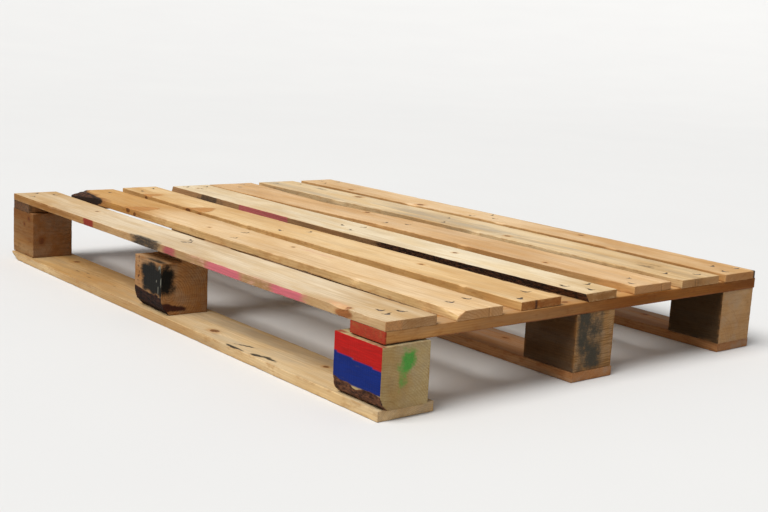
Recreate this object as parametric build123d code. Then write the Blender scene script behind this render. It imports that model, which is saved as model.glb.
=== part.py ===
"""Four-way block pallet of sawn softwood, nailed together. Millimetres, +Z up.

The origin is the middle of the footprint, on the floor. X runs along the deck boards,
Y across them, and the front is -Y. From the floor up: three bottom runners, nine blocks,
three stringer boards lying crosswise, seven deck boards. Boards over a row of blocks are
held by long nails that end in the blocks. The boards between the rows are held by short
nails whose tips are bent over (clinched) under the stringer.
"""
import os

from build123d import *

# ---------------------------------------------------------------- driving dimensions
LENGTH = 1200.0            # nominal length of the deck boards
WIDTH = 800.0              # nominal length of the stringer boards
RUNNER_THICK = 15.0
BLOCK_HIGH = 88.0
STRINGER_THICK = 17.0
DECK_THICK = 13.0

FLOOR = 0.0
Z_BLOCK = FLOOR + RUNNER_THICK
Z_STRINGER = Z_BLOCK + BLOCK_HIGH
Z_DECK = Z_STRINGER + STRINGER_THICK
Z_TOP = Z_DECK + DECK_THICK

HALF_LENGTH = LENGTH / 2
HALF_WIDTH = WIDTH / 2

# ---------------------------------------------------------------- nails
SHANK_RADIUS = 1.5
HEAD_RADIUS = 3.4
HEAD_THICK = 1.6
HEAD_SUNK = 0.5            # how far a head sits below the face of the board
POINT_LONG = 4.0
POINT_RADIUS = 0.05        # the very tip is blunt by a hair
LONG_NAIL = 72.0           # through deck and stringer, into a block
RUNNER_NAIL = 52.0         # through a runner, into a block
CLINCH_LEG = 9.0           # bent tip lying flat under the stringer
NAIL_MARGIN = 13.0         # distance of a nail from the edge of the pieces it joins
OVERSHOOT = 1.0            # bores run this far past the face they open on

THREE_NAILS = [(0.10, 0.05), (0.90, 0.45), (0.30, 1.00)]
TWO_NAILS = [(0.20, 0.10), (0.80, 0.90)]
# crossings (board, stringer) where the nails were driven in some other pattern
ODD_PATTERNS = {
    (1, "middle"): [(0.85, 0.05), (0.95, 0.40), (0.70, 0.80)],
    (1, "right"): [(0.10, 0.45), (0.55, 0.35), (0.45, 0.90)],
    (2, "right"): [(0.20, 0.30), (0.10, 0.95)],
}

# ---------------------------------------------------------------- deck boards
# ends: x of the left and right end.  front, back: y of that edge at the left end, at the
# three stations along the board and at the right end, since no edge is quite straight.
STATIONS = (-300.0, 0.0, 300.0)
DECK_BOARDS = {
    1: {
        "ends": (-596.0, 600.0),
        "front": (-400.0, -401.0, -400.5, -402.5, -399.5),
        "back": (-309.5, -316.5, -315.8, -314.2, -312.0),
    },
    2: {
        "ends": (-596.5, 600.0),
        "front": (-278.0, -273.5, -276.0, -274.5, -277.0),
        "back": (-181.5, -183.0, -187.0, -190.0, -191.0),
    },
    3: {
        "ends": (-606.0, 597.0),
        "front": (-155.0, -165.0, -164.0, -161.0, -154.0),
        "back": (-75.5, -79.0, -75.5, -71.0, -72.0),
    },
    4: {
        "ends": (-599.5, 600.5),
        "front": (-37.0, -41.0, -42.0, -35.0, -25.0),
        "back": (52.5, 49.5, 51.5, 49.5, 45.0),
    },
    5: {
        "ends": (-599.5, 597.5),
        "front": (55.0, 60.0, 77.5, 81.0, 89.0),
        "back": (168.0, 150.0, 174.0, 179.0, 179.0),
    },
    6: {
        "ends": (-601.5, 600.5),
        "front": (190.0, 197.0, 205.0, 202.0, 200.0),
        "back": (288.0, 297.0, 307.0, 306.0, 297.0),
    },
    7: {
        "ends": (-600.5, 602.0),
        "front": (309.0, 313.0, 322.0, 322.0, 313.0),
        "back": (399.0, 399.7, 398.6, 399.4, 396.5),
    },
}
BOARDS_OVER_BLOCKS = {1: "front", 4: "centre", 7: "back"}

# Wane: places where the round outside of the log cut the edge of the board short.
# Board 4 keeps bark along its whole front edge, and that edge leans: at its ends and
# stations the foot of the edge stands this far behind the top.
BOARD_4_LEAN = (-4.0, -1.0, 3.0, 7.0, 9.0)
BOARD_2_WANE_ACROSS = 30.0
BOARD_2_WANE_DEEP = 9.0
BOARD_2_WANE_RUN = 120.0
BOARD_2_CHIP_ACROSS = 16.0
BOARD_2_CHIP_DEEP = 10.0
BOARD_2_CHIP_RUN = 45.0

# ---------------------------------------------------------------- stringer boards
STRINGERS = {
    "left": {"x": (-600.0, -525.0), "y": (-398.0, 398.0)},
    "middle": {"x": (-52.0, 33.0), "y": (-368.0, 400.0)},
    "right": {"x": (527.0, 600.0), "y": (-399.0, 400.0)},
}

# ---------------------------------------------------------------- blocks
# centre (x, y), size along x and y, turn about z in degrees
BLOCKS = {
    ("front", "left"): {"at": (-557.0, -355.5), "size": (98.0, 82.0), "turn": 0.0},
    ("front", "middle"): {"at": (-18.0, -360.5), "size": (98.0, 86.0), "turn": -2.0},
    ("front", "right"): {"at": (553.0, -364.0), "size": (102.0, 82.0), "turn": 0.0},
    ("centre", "left"): {"at": (-552.0, 6.0), "size": (100.0, 84.0), "turn": 0.6},
    ("centre", "middle"): {"at": (-12.0, 4.0), "size": (97.0, 83.0), "turn": -0.8},
    ("centre", "right"): {"at": (548.0, 4.7), "size": (102.0, 84.0), "turn": 0.0},
    ("back", "left"): {"at": (-551.0, 358.0), "size": (99.0, 82.0), "turn": -0.5},
    ("back", "middle"): {"at": (-9.0, 356.0), "size": (101.0, 83.0), "turn": 0.7},
    ("back", "right"): {"at": (547.0, 357.7), "size": (103.0, 83.0), "turn": 0.0},
}
LOOSE_GAP = 2.0            # the front right block stands clear of the stringer by this much
BLOCK_WANES = {
    ("front", "middle"): {"across": 17.0, "high": 30.0},
    ("front", "right"): {"across": 13.0, "high": 24.0},
}
WANE_BEND_ACROSS = 0.30    # each wane is two flats meeting at a bend, as shares of its size
WANE_BEND_HIGH = 0.38

# ---------------------------------------------------------------- bottom runners
RUNNERS = {
    "front": {"x": (-600.0, 597.5), "y": (-402.0, -306.5)},
    "centre": {"x": (-600.0, 599.0), "y": (-39.0, 50.0)},
    "back": {"x": (-600.0, 595.0), "y": (319.0, 405.0)},
}
BEVEL_RUN = 29.0           # the front runner's left end is bevelled underneath
BEVEL_HIGH = 12.0


# ---------------------------------------------------------------- wood
def plank(corners, z_low, thick):
    """A board from its plan corners, its lower face and its thickness."""
    outline = make_face(Polyline(*corners, close=True))
    return Pos(0, 0, z_low) * extrude(outline, thick)


def leaning_plank(upper_corners, lower_corners, z_low, thick):
    """A board whose lower and upper faces have different outlines."""
    upper = Pos(0, 0, z_low + thick) * make_face(Polyline(*upper_corners, close=True))
    lower = Pos(0, 0, z_low) * make_face(Polyline(*lower_corners, close=True))
    return loft([lower, upper], ruled=True)


def box_plank(x_range, y_range, z_low, thick):
    """A straight board from its x and y limits."""
    corners = [
        (x_range[0], y_range[0]),
        (x_range[1], y_range[0]),
        (x_range[1], y_range[1]),
        (x_range[0], y_range[1]),
    ]
    return plank(corners, z_low, thick)


def shave(wood, first, second, third):
    """Cut a piece along the plane through three points and keep the larger side."""
    first = Vector(*first)
    along = Vector(*third) - first
    across = Vector(*second) - first
    cut = Plane(origin=first, x_dir=along, z_dir=across.cross(along).normalized())
    above = split(wood, bisect_by=cut, keep=Keep.TOP)
    below = split(wood, bisect_by=cut, keep=Keep.BOTTOM)
    return above if above.volume > below.volume else below


def board_corners(shape, lean=(0.0, 0.0, 0.0, 0.0, 0.0)):
    """Plan corners of a deck board, its front edge moved back by the lean."""
    left, right = shape["ends"]
    places = (left, *STATIONS, right)
    front = [(x, y + back_by) for x, y, back_by in zip(places, shape["front"], lean)]
    back = list(zip(places, shape["back"]))
    return front + back[::-1]


def deck_board(number):
    """One deck board with its wanes, before the nails are driven."""
    shape = DECK_BOARDS[number]
    left, right = shape["ends"]
    if number == 4:
        lower = board_corners(shape, BOARD_4_LEAN)
        return leaning_plank(board_corners(shape), lower, Z_DECK, DECK_THICK)
    board = plank(board_corners(shape), Z_DECK, DECK_THICK)
    if number == 2:
        front_left, front_right = shape["front"][0], shape["front"][-1]
        board = shave(
            board,
            (left, front_left, Z_TOP - BOARD_2_WANE_DEEP),
            (left, front_left + BOARD_2_WANE_ACROSS, Z_TOP),
            (left + BOARD_2_WANE_RUN, front_left, Z_TOP),
        )
        board = shave(
            board,
            (right, front_right, Z_TOP - BOARD_2_CHIP_DEEP),
            (right, front_right + BOARD_2_CHIP_ACROSS, Z_TOP),
            (right - BOARD_2_CHIP_RUN, front_right, Z_TOP),
        )
    return board


def stringer(name):
    """One stringer board, lying across the blocks under the deck."""
    shape = STRINGERS[name]
    return box_plank(shape["x"], shape["y"], Z_STRINGER, STRINGER_THICK)


def block(row, column):
    """One block; two of them still carry the rounded outside of the log low in front."""
    shape = BLOCKS[(row, column)]
    size_x, size_y = shape["size"]
    high = BLOCK_HIGH
    if (row, column) == ("front", "right"):
        high = BLOCK_HIGH - LOOSE_GAP
    wood = Pos(0, 0, high / 2) * Box(size_x, size_y, high)
    if (row, column) in BLOCK_WANES:
        wane = BLOCK_WANES[(row, column)]
        front = -size_y / 2
        bend_y = front + wane["across"] * WANE_BEND_ACROSS
        bend_z = wane["high"] * WANE_BEND_HIGH
        wood = shave(
            wood,
            (0, front, wane["high"]),
            (0, bend_y, bend_z),
            (size_x / 2, front, wane["high"]),
        )
        wood = shave(
            wood,
            (0, bend_y, bend_z),
            (0, front + wane["across"], 0),
            (size_x / 2, bend_y, bend_z),
        )
    x, y = shape["at"]
    return Pos(x, y, Z_BLOCK) * Rot(0, 0, shape["turn"]) * wood


def runner(row):
    """One bottom runner."""
    shape = RUNNERS[row]
    wood = box_plank(shape["x"], shape["y"], FLOOR, RUNNER_THICK)
    if row == "front":
        left = shape["x"][0]
        front, back = shape["y"]
        wood = shave(
            wood,
            (left, front, FLOOR + BEVEL_HIGH),
            (left + BEVEL_RUN, front, FLOOR),
            (left, back, FLOOR + BEVEL_HIGH),
        )
    return wood


# ---------------------------------------------------------------- where the nails go
def block_limits(row, column):
    """x and y limits of a block, ignoring its small turn."""
    shape = BLOCKS[(row, column)]
    x, y = shape["at"]
    size_x, size_y = shape["size"]
    return (x - size_x / 2, x + size_x / 2), (y - size_y / 2, y + size_y / 2)


def shared(*ranges):
    """The part that all the given ranges have in common, less the nail margin."""
    low = max(limits[0] for limits in ranges) + NAIL_MARGIN
    high = min(limits[1] for limits in ranges) - NAIL_MARGIN
    return low, high


def spots(x_range, y_range, pattern, flip):
    """Nail positions inside a rectangle, the pattern mirrored when flip is true."""
    places = []
    for across, along in pattern:
        if flip:
            across = 1 - across
        x = x_range[0] + across * (x_range[1] - x_range[0])
        y = y_range[0] + along * (y_range[1] - y_range[0])
        places.append((x, y))
    return places


def board_y_range(number):
    """y limits that the whole length of a deck board covers."""
    shape = DECK_BOARDS[number]
    return max(shape["front"]), min(shape["back"])


def deck_nails(number):
    """Nail positions of one deck board, by stringer."""
    places = {}
    for index, column in enumerate(STRINGERS):
        flip = (number + index) % 2 == 1
        lower = STRINGERS[column]
        if number in BOARDS_OVER_BLOCKS:
            block_x, block_y = block_limits(BOARDS_OVER_BLOCKS[number], column)
            x_range = shared(lower["x"], block_x)
            y_range = shared(board_y_range(number), lower["y"], block_y)
            pattern = THREE_NAILS
        else:
            x_range = shared(lower["x"])
            y_range = shared(board_y_range(number), lower["y"])
            pattern = TWO_NAILS
        if (number, column) in ODD_PATTERNS:
            pattern = ODD_PATTERNS[(number, column)]
            flip = False
        places[column] = spots(x_range, y_range, pattern, flip)
    return places


def runner_nails(row):
    """Nail positions of one bottom runner, by block column."""
    places = {}
    for index, column in enumerate(STRINGERS):
        block_x, block_y = block_limits(row, column)
        wane = BLOCK_WANES.get((row, column), {"across": 0.0})
        block_y = (block_y[0] + wane["across"], block_y[1])
        x_range = shared(block_x, RUNNERS[row]["x"])
        y_range = shared(block_y, RUNNERS[row]["y"])
        places[column] = spots(x_range, y_range, THREE_NAILS, index % 2 == 1)
    return places


# ---------------------------------------------------------------- nails as solids
def pillar(x, y, z_low, z_high, radius):
    """An upright cylinder between two heights."""
    return Pos(x, y, (z_low + z_high) / 2) * Cylinder(radius, z_high - z_low)


def deck_head(x, y):
    """Head of a nail driven from above, just below the face of the deck."""
    top = Z_TOP - HEAD_SUNK
    return pillar(x, y, top - HEAD_THICK, top, HEAD_RADIUS)


def long_nail(x, y):
    """Nail through a deck board and a stringer into a block."""
    tip = Z_TOP - HEAD_SUNK - LONG_NAIL
    shank = pillar(x, y, tip + POINT_LONG, Z_TOP - HEAD_SUNK, SHANK_RADIUS)
    point = Pos(x, y, tip + POINT_LONG / 2) * Cone(POINT_RADIUS, SHANK_RADIUS, POINT_LONG)
    return deck_head(x, y) + shank + point


def clinched_nail(x, y, side):
    """Nail through a deck board and a stringer, its tip bent over along x."""
    bend = Z_STRINGER - SHANK_RADIUS
    shank = pillar(x, y, bend, Z_TOP - HEAD_SUNK, SHANK_RADIUS)
    elbow = Pos(x, y, bend) * Sphere(SHANK_RADIUS)
    leg_middle = x + side * CLINCH_LEG / 2
    leg = Pos(leg_middle, y, bend) * Rot(0, 90, 0) * Cylinder(SHANK_RADIUS, CLINCH_LEG)
    return deck_head(x, y) + shank + elbow + leg


def runner_nail(x, y):
    """Nail driven up through a runner into a block."""
    low = FLOOR + HEAD_SUNK
    tip = low + RUNNER_NAIL
    head = pillar(x, y, low, low + HEAD_THICK, HEAD_RADIUS)
    shank = pillar(x, y, low, tip - POINT_LONG, SHANK_RADIUS)
    point = Pos(x, y, tip - POINT_LONG / 2) * Cone(SHANK_RADIUS, POINT_RADIUS, POINT_LONG)
    return head + shank + point


def deck_bore(x, y, long):
    """What a nail driven from above removes from the wood."""
    sink = pillar(x, y, Z_TOP - HEAD_SUNK - HEAD_THICK, Z_TOP + OVERSHOOT, HEAD_RADIUS)
    if long:
        return sink + long_nail(x, y)
    return sink + pillar(x, y, Z_STRINGER - OVERSHOOT, Z_TOP, SHANK_RADIUS)


def runner_bore(x, y):
    """What a nail driven from below removes from the wood."""
    sink = pillar(x, y, FLOOR - OVERSHOOT, FLOOR + HEAD_SUNK + HEAD_THICK, HEAD_RADIUS)
    return sink + runner_nail(x, y)


def drill(wood, bores):
    """Take every bore out of a piece."""
    for bore in bores:
        wood = wood - bore
    return wood


# ---------------------------------------------------------------- assembly
def save(name, shape):
    """Write one node."""
    solids = shape if isinstance(shape, list) else shape.solids()
    if len(solids) == 1:
        export_step(solids[0], f"parts/{name}.step")
    else:
        export_step(Compound(children=list(solids)), f"parts/{name}.step")


def main():
    os.makedirs("parts", exist_ok=True)
    stringer_bores = {column: [] for column in STRINGERS}
    block_bores = {key: [] for key in BLOCKS}

    for number in DECK_BOARDS:
        over = BOARDS_OVER_BLOCKS.get(number)
        board_bores = []
        nails = []
        for column, places in deck_nails(number).items():
            for index, (x, y) in enumerate(places):
                bore = deck_bore(x, y, over is not None)
                board_bores.append(bore)
                stringer_bores[column].append(bore)
                if over:
                    block_bores[(over, column)].append(bore)
                    nails.append(long_nail(x, y).solids()[0])
                else:
                    side = 1 if index % 2 == 0 else -1
                    nails.append(clinched_nail(x, y, side).solids()[0])
        save(f"deck_board_{number}", drill(deck_board(number), board_bores))
        save(f"nails_deck_{number}", nails)

    for row in RUNNERS:
        bores = []
        nails = []
        for column, places in runner_nails(row).items():
            for x, y in places:
                bore = runner_bore(x, y)
                bores.append(bore)
                block_bores[(row, column)].append(bore)
                nails.append(runner_nail(x, y).solids()[0])
        save(f"runner_{row}", drill(runner(row), bores))
        save(f"nails_runner_{row}", nails)

    for column in STRINGERS:
        save(f"stringer_{column}", drill(stringer(column), stringer_bores[column]))

    for row, column in BLOCKS:
        save(f"block_{row}_{column}", drill(block(row, column), block_bores[(row, column)]))


main()
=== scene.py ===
"""The wooden pallet, dressed for Blender: worn sawn timber, nails, a pale floor and soft light.

Metres, in the frame of the CAD model: X along the deck boards, Y across them, Z up, the
front at -Y. Every wooden piece is a box-shaped grid that is rounded, cut by wanes, dented
by its nails and roughened in numpy, and it carries what its material needs as attributes.
"""
import itertools
import math

import bmesh
import bpy
import numpy as np
from mathutils import Matrix, Vector


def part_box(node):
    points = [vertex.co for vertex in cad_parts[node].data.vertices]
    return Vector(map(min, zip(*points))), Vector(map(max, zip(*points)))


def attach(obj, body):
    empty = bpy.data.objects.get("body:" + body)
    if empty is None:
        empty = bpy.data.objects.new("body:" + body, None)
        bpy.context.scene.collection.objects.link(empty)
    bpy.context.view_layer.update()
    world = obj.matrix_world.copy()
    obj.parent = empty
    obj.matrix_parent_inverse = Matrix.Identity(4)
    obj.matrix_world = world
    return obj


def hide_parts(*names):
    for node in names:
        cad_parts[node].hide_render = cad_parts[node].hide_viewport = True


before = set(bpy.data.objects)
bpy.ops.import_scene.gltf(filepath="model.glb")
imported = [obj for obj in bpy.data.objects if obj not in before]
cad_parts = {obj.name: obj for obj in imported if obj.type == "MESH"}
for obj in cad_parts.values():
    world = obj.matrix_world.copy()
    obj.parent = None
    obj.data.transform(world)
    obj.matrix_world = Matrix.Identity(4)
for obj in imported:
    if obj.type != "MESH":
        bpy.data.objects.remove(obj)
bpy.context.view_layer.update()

# ------------------------------------------------------------------ grids and edges
EDGE_LINES = (0.0, 0.0004, 0.0010, 0.0018, 0.0030, 0.0048)
BOARD_STEPS = (0.0045, 0.0035, 0.0035)
BLOCK_STEPS = (0.0020, 0.0020, 0.0020)
ARRIS_RADIUS = 0.0011
BLOCK_ARRIS_RADIUS = 0.0013
CHIP_RADIUS = 0.0024
FINEST_EDGE = 0.0011
CRACK_HALF_WIDTH = 0.0007
# a vertex this close to the outermost height lies on the flat face
FLAT_FACE = 0.0002

# ------------------------------------------------------------------ first seeds of the pieces
DECK_SEED = 100
STRINGER_SEED = 200
BLOCK_SEED = 300
RUNNER_SEED = 400

# ------------------------------------------------------------------ nails
HEAD_RADIUS = 0.0034
SHANK_RADIUS = 0.0015
DENT_DEPTH = 0.0011
DENT_REACH = 0.0085
FINE_GRID_REACH = 0.0095
BEND_RADIUS = 0.0030


# ------------------------------------------------------------------ smooth random numbers
def hashed(cells, seed):
    """A repeatable number from 0 to 1 for each whole-number cell."""
    mask = np.uint64(0xFFFFFFFF)
    mixed = cells[:, 0] * np.uint64(73856093)
    mixed = mixed ^ (cells[:, 1] * np.uint64(19349663))
    mixed = mixed ^ (cells[:, 2] * np.uint64(83492791))
    mixed = (mixed ^ np.uint64(seed * 7919 + 17)) & mask
    mixed = ((mixed ^ (mixed >> np.uint64(15))) * np.uint64(2246822519)) & mask
    mixed = ((mixed ^ (mixed >> np.uint64(13))) * np.uint64(3266489917)) & mask
    mixed = mixed ^ (mixed >> np.uint64(16))
    return (mixed & np.uint64(0xFFFFFF)).astype(float) / 0xFFFFFF


def noise(points, size, seed):
    """Smooth random values from -1 to 1; size is the length of one bump along each axis."""
    cells = points / np.asarray(size, float) + 1000.0
    base = np.floor(cells)
    part = cells - base
    part = part * part * (3 - 2 * part)
    base = base.astype(np.uint64)
    total = np.zeros(len(points))
    for corner in itertools.product((0, 1), repeat=3):
        weight = np.ones(len(points))
        for axis in range(3):
            weight *= part[:, axis] if corner[axis] else 1 - part[:, axis]
        total += weight * hashed(base + np.array(corner, np.uint64), seed)
    return 2 * total - 1


def rough_noise(points, size, seed, octaves=3):
    """Several sizes of noise added together, each half as large as the one before."""
    total = np.zeros(len(points))
    size = np.asarray(size, float)
    for octave in range(octaves):
        total += noise(points, size / 2**octave, seed + octave) / 2**octave
    return total


def smooth(low, high, values):
    """0 below low, 1 above high, and a smooth rise between; low may be the larger."""
    part = np.clip((values - low) / (high - low), 0, 1)
    return part * part * (3 - 2 * part)


# ------------------------------------------------------------------ box-shaped grids
def grid_lines(half, step, extra=()):
    """Grid coordinates from -half to half, closer together towards both ends."""
    inner = half - EDGE_LINES[-1]
    count = max(2, round(2 * inner / step))
    middle = np.linspace(-inner, inner, count + 1)
    edge = half - np.array(EDGE_LINES[:-1])
    values = np.sort(np.concatenate([-edge, middle, edge]))
    for value in extra:
        values = values[np.abs(values - value) > 0.0005]
        values = np.sort(np.append(values, value))
    return values


def box_grid(xs, ys, zs):
    """Points and quads of the surface of a box whose grid lines are given."""
    shape = (len(xs), len(ys), len(zs))
    i, j, k = np.indices(shape)
    shell = (i == 0) | (i == shape[0] - 1) | (j == 0) | (j == shape[1] - 1)
    shell |= (k == 0) | (k == shape[2] - 1)
    index = np.full(shape, -1)
    index[shell] = np.arange(shell.sum())
    points = np.column_stack([xs[i[shell]], ys[j[shell]], zs[k[shell]]])
    sides = [
        (index[:, :, 0], True),
        (index[:, :, -1], False),
        (index[:, 0, :], False),
        (index[:, -1, :], True),
        (index[0, :, :], True),
        (index[-1, :, :], False),
    ]
    quads = []
    for grid, turned in sides:
        quad = np.stack([grid[:-1, :-1], grid[1:, :-1], grid[1:, 1:], grid[:-1, 1:]], -1)
        quad = quad.reshape(-1, 4)
        quads.append(quad[:, ::-1] if turned else quad)
    return points, np.concatenate(quads)


def rounded(points, half, seed, arris):
    """Round the edges of a box by an uneven radius, with a chip here and there."""
    wear = noise(points, (0.030, 0.07, 0.05), seed)
    chips = smooth(0.45, 0.85, noise(points, (0.011, 0.05, 0.03), seed + 1))
    radius = arris * (1.0 + 0.45 * wear) + CHIP_RADIUS * chips * (0.6 + 0.4 * wear)
    radius = np.minimum(radius, half.min() * 0.6)[:, None]
    core = np.clip(points, -(half - radius), half - radius)
    away = points - core
    outward = away / np.linalg.norm(away, axis=1)[:, None]
    return core + outward * radius, outward


def refine(points, quads, spots):
    """Split the faces near each spot (centre, reach) into a finer grid."""
    mesh = bmesh.new()
    verts = [mesh.verts.new(point) for point in points]
    for quad in quads:
        mesh.faces.new([verts[n] for n in quad])
    for centre, reach in spots:
        place = np.array([vert.co for vert in mesh.verts])
        near = np.linalg.norm(place - centre, axis=1) < reach
        chosen = set()
        for number, vert in enumerate(mesh.verts):
            if near[number]:
                chosen.update(edge for edge in vert.link_edges)
        chosen = [e for e in chosen if (e.verts[0].co - e.verts[1].co).length > FINEST_EDGE]
        bmesh.ops.subdivide_edges(mesh, edges=chosen, cuts=2, use_grid_fill=True)
    mesh.verts.index_update()
    points = np.array([vert.co for vert in mesh.verts])
    faces = [[vert.index for vert in face.verts] for face in mesh.faces]
    mesh.free()
    return points, faces


# ------------------------------------------------------------------ timber
class Timber:
    """One piece of wood while it is being shaped, in its own frame: x runs along the grain."""

    def __init__(self, size, seed, steps, arris=ARRIS_RADIUS, cracks=(), spots=()):
        self.half = np.array(size) / 2
        self.seed = seed
        self.cracks = cracks
        extra_y = []
        for crack in cracks:
            extra_y += [crack["y"] - CRACK_HALF_WIDTH, crack["y"], crack["y"] + CRACK_HALF_WIDTH]
        xs = grid_lines(self.half[0], steps[0])
        ys = grid_lines(self.half[1], steps[1], extra_y)
        zs = grid_lines(self.half[2], steps[2])
        points, faces = box_grid(xs, ys, zs)
        self.flat = points
        if spots:
            self.flat, faces = refine(points, faces, spots)
        self.faces = faces
        self.points, self.outward = rounded(self.flat, self.half, seed, arris)
        count = len(self.points)
        self.bark = np.zeros(count)
        self.grime = np.zeros(count)
        self.crack = np.zeros(count)
        self.tone = np.zeros(count)
        self.stain = np.zeros((count, 4))
        self.sideways = np.abs(self.outward[:, 1])
        self.open_cracks()

    def soil(self, amount):
        """Darken with dirt, where this is more than the dirt already there."""
        self.grime = np.maximum(self.grime, amount)

    def open_cracks(self):
        """Press the cracks' middle lines in and let the lines wander sideways."""
        for crack in self.cracks:
            off_line = np.abs(self.flat[:, 1] - crack["y"])
            on_line = off_line < 0.0002
            start = crack["end"] * self.half[0]
            along = (start - self.flat[:, 0]) * crack["end"]
            depth = crack["depth"] * smooth(crack["length"], crack["length"] * 0.4, along)
            inward = on_line & (depth > 1e-5) & (self.outward[:, 2] > -0.5)
            self.points[inward] -= self.outward[inward] * depth[inward, None]
            self.crack[inward] = np.maximum(self.crack[inward], smooth(0, 0.0006, depth[inward]))
            sway = 0.0012 * noise(self.flat, (0.03, 1.0, 1.0), self.seed + 40)
            band = np.exp(-((off_line / 0.003) ** 2))
            self.points[:, 1] += sway * band

    def roughen(self, amount=0.00022):
        """Saw waves and raised fibres, along the outward direction."""
        waves = rough_noise(self.flat, (0.09, 0.022, 0.022), self.seed + 5)
        fibres = noise(self.flat, (0.03, 0.005, 0.005), self.seed + 9)
        self.points += self.outward * (amount * (waves + 0.5 * fibres))[:, None]

    def waver(self, amount):
        """Let both long edges wander in and out a little, each in its own way."""
        way = np.column_stack([self.flat[:, 0], np.sign(self.flat[:, 1]), self.flat[:, 0] * 0])
        share = np.abs(self.flat[:, 1] / self.half[1]) ** 3
        shift = rough_noise(way, (0.11, 0.4, 1.0), self.seed + 70)
        self.points[:, 1] -= np.sign(self.flat[:, 1]) * amount * share * (0.5 + 0.5 * shift)

    def bow(self, side, up):
        """Bend the piece a little: side and up are how far its middle stands off a line."""
        part = 1 - (self.flat[:, 0] / self.half[0]) ** 2
        sway = noise(self.flat, (0.35, 9.0, 9.0), self.seed + 60)
        self.points[:, 1] += side * part + 0.0008 * sway
        self.points[:, 2] += up * part

    def nick(self, x, wide, deep):
        """Break a little out of the upper front edge."""
        off_edge = np.hypot(self.flat[:, 1] + self.half[1], self.flat[:, 2] - self.half[2])
        share = smooth(wide, wide * 0.2, np.abs(self.flat[:, 0] - x)) * smooth(0.009, 0.0005, off_edge)
        self.points[:, 1] += deep * share
        self.points[:, 2] -= deep * share

    def twist(self, lift):
        """Lift the back corner of the right end, fading out towards the left and the front."""
        along = np.clip(self.flat[:, 0] / self.half[0], 0, 1)
        across = (self.flat[:, 1] / self.half[1] + 1) / 2
        self.points[:, 2] += lift * along * along * across

    def cut(self, origin, normal, rough, seed):
        """Push everything beyond a plane back onto it, uneven like the outside of a log."""
        normal = np.array(normal, float)
        normal /= np.linalg.norm(normal)
        beyond = (self.points - np.array(origin)) @ normal
        beyond -= rough * rough_noise(self.flat, (0.030, 0.010, 0.010), seed)
        cut = beyond > 0
        self.points[cut] -= beyond[cut, None] * normal
        self.bark = np.maximum(self.bark, np.clip(beyond / 0.0007, 0, 1))

    def dent(self, spots, side):
        """Crush the wood around nails on the upper (side 1) or lower (side -1) face."""
        facing = self.outward[:, 2] * side > 0.7
        for number, (x, y) in enumerate(spots):
            right, back = self.points[:, 0] - x, self.points[:, 1] - y
            away = np.hypot(right, back)
            uneven = 1 + 0.35 * noise(self.flat, (0.006, 0.004, 0.004), self.seed + number)
            pit = smooth(DENT_REACH * 0.75, HEAD_RADIUS * 1.05, away * uneven)
            self.points[facing, 2] -= side * DENT_DEPTH * pit[facing]
            dark = smooth(HEAD_RADIUS * 1.7, HEAD_RADIUS * 0.9, away * uneven)
            lean = 2.4 * hashed(np.array([[number, self.seed, 5]], np.uint64), 6)[0] - 0.4
            along = right * math.cos(lean) + back * math.sin(lean)
            across = back * math.cos(lean) - right * math.sin(lean)
            slip = np.hypot(along / 0.0095, (across - 0.0015) / 0.0024)
            dark = np.maximum(dark, smooth(1.3, 0.6, slip * uneven))
            self.grime[facing] = np.maximum(self.grime[facing], 0.85 * dark[facing])

    def rings(self, pith, drift, knots):
        """Distance from the pith, bent around the knots, and distance to the nearest knot."""
        u, v, w = self.points.T
        heart_v = pith[0] + drift[0] * u + 0.004 * np.sin(u * 9 + self.seed)
        heart_w = pith[1] + drift[1] * u
        wood = np.column_stack([u + self.seed * 0.37, v - heart_v, w - heart_w])
        ring = np.hypot(wood[:, 1], wood[:, 2])
        knot = np.full(len(u), 4.0)
        for k in knots:
            axis = np.array(k["axis"], float)
            axis /= np.linalg.norm(axis)
            apart = self.points - np.array(k["at"])
            run = apart @ axis
            apart = apart - run[:, None] * axis
            size = k["radius"] * np.clip(1 - run / k["length"], 0.05, 1.3)
            wide = np.sqrt((apart[:, 0] / 1.25) ** 2 + apart[:, 1] ** 2 + apart[:, 2] ** 2)
            reach = wide / size
            past = np.clip((run - k["length"]) / k["radius"], 0, 3)
            reach = np.clip(reach + past * 2, 0, 4)
            knot = np.minimum(knot, reach)
            swell = np.sqrt((apart[:, 0] / 3.2) ** 2 + apart[:, 1] ** 2 + apart[:, 2] ** 2)
            ring = ring + k["radius"] * 1.1 * np.exp(-((swell / (1.5 * size)) ** 2))
        return wood, ring, knot


def turned(x, y, angle):
    """The x and y of points turned about Z."""
    cos, sin = math.cos(angle), math.sin(angle)
    return cos * x - sin * y, sin * x + cos * y


def world_points(timber, centre, angle):
    """Turn a timber's points about Z and move them to their place."""
    x, y, z = timber.points.T
    return np.column_stack([*turned(x, y, angle), z]) + np.array(centre)


def set_attribute(mesh, name, kind, values):
    """Store one value per vertex."""
    field = {"FLOAT": "value", "FLOAT_VECTOR": "vector", "FLOAT_COLOR": "color"}[kind]
    attribute = mesh.attributes.new(name, kind, "POINT")
    attribute.data.foreach_set(field, np.asarray(values, np.float32).ravel())


def smooth_object(name, points, faces, material):
    """An object with smooth shading and one material."""
    mesh = bpy.data.meshes.new(name)
    mesh.from_pydata(points, [], faces)
    mesh.polygons.foreach_set("use_smooth", [True] * len(mesh.polygons))
    mesh.materials.append(material)
    made = bpy.data.objects.new(name, mesh)
    bpy.context.scene.collection.objects.link(made)
    return made


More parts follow.
